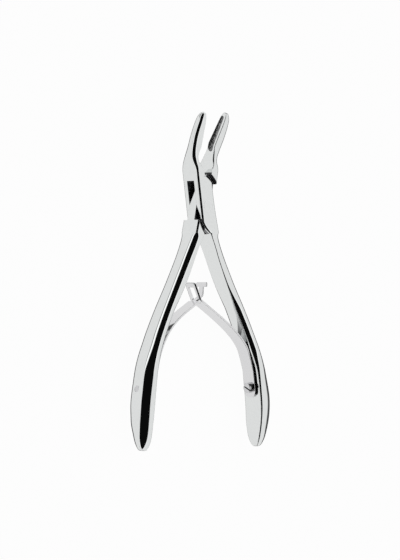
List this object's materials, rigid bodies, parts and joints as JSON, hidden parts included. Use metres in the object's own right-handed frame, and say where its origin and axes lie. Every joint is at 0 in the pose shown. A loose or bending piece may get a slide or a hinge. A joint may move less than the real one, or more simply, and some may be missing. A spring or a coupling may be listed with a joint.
{
  "type": "bone rongeur",
  "caption": "Hand-held bone rongeur: box-jointed steel levers with bent, scooped cutting jaws, held open by crossed leaf springs that hook through each other.",
  "frame": {"origin": "on the pivot axis, in the plane of the rear faces that the instrument lies on", "axes": "+Y along the closed instrument towards the jaws, +Z along the pivot out of the front face, +X across the handles"},
  "size_m": [0.078, 0.1522, 0.0167],
  "materials": {
    "lever_steel": "polished",
    "pin_steel": "polished",
    "spring_steel": "polished",
    "screw_steel": "satin"
  },
  "bodies": {
    "slotted_side": {"slotted_lever": "lever_steel", "pivot_pin": "pin_steel", "window_spring_screw": "screw_steel"},
    "tenon_side": {"tenon_lever": "lever_steel", "tee_spring_screw": "screw_steel"},
    "window_leaf": {"window_spring": "spring_steel"},
    "tee_leaf": {"tee_spring": "spring_steel"}
  },
  "joints": [
    {"name": "pivot", "type": "hinge", "parent": "slotted_side", "child": "tenon_side", "pos_m": [0, 0, 0], "axis": [0, 0, 1], "range_deg": [0, 16], "stiffness_Nm_per_rad": 2.5, "springref_deg": -8.59},
    {"name": "window_leaf_bend", "type": "hinge", "parent": "slotted_side", "child": "window_leaf", "pos_m": [0.02598, -0.06704, 0.0056], "axis": [0, 0, 1], "range_deg": [-9, 0], "deforming": ["window_spring"]},
    {"name": "tee_leaf_bend", "type": "hinge", "parent": "tenon_side", "child": "tee_leaf", "pos_m": [-0.02598, -0.06704, 0.0056], "axis": [0, 0, 1], "range_deg": [0, 15], "deforming": ["tee_spring"]}
  ],
  "couplings": [
    {"joint": "window_leaf_bend", "follows": "pivot", "ratio": -0.5354},
    {"joint": "tee_leaf_bend", "follows": "pivot", "ratio": 0.8997}
  ]
}
